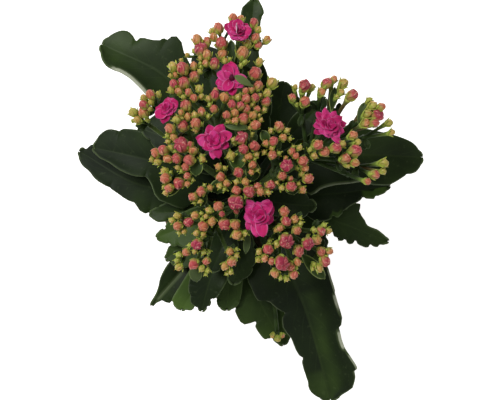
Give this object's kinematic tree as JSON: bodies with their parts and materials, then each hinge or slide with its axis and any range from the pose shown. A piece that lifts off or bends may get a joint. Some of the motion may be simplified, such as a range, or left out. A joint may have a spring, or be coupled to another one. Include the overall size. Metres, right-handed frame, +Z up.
{
  "type": "potted flaming katy",
  "caption": "Potted succulent with fleshy scalloped leaves round a short stem and a domed head of rose-like buds and double blooms, in a plain round tapered pot.",
  "frame": {"origin": "centre of the pot's flat underside", "axes": "+Z up along the pot's axis; +X to the right and +Y away from the viewer in the view from above that the picture has"},
  "size_m": [0.194, 0.2228, 0.1984],
  "materials": {
    "pot": "matte",
    "soil": "matte",
    "stem": "satin",
    "leaf": "satin",
    "bud": "satin",
    "petal": "satin"
  },
  "bodies": {
    "root": {"pot": "pot", "soil": "soil", "stem": "stem", "leaf_01": "leaf", "leaf_02": "leaf", "leaf_03": "leaf", "leaf_04": "leaf", "leaf_05": "leaf", "leaf_06": "leaf", "leaf_07": "leaf", "leaf_08": "leaf", "leaf_09": "leaf", "leaf_10": "leaf", "leaf_11": "leaf", "leaf_12": "leaf", "leaf_13": "leaf", "leaf_14": "leaf", "leaf_15": "leaf", "leaf_16": "leaf", "leaf_17": "leaf", "leaf_18": "leaf", "leaf_19": "leaf", "leaf_20": "leaf", "leaf_21": "leaf", "leaf_22": "leaf", "leaf_23": "leaf", "leaf_24": "leaf", "leaf_25": "leaf", "spray_01": "bud", "spray_02": "bud", "spray_03": "bud", "spray_04": "bud", "spray_05": "bud", "spray_06": "bud", "spray_07": "bud", "spray_08": "bud", "spray_09": "bud", "spray_10": "bud", "bloom_1": "petal", "bloom_2": "petal", "bloom_3": "petal", "bloom_4": "petal", "bloom_5": "petal", "bloom_6": "petal"}
  },
  "joints": []
}
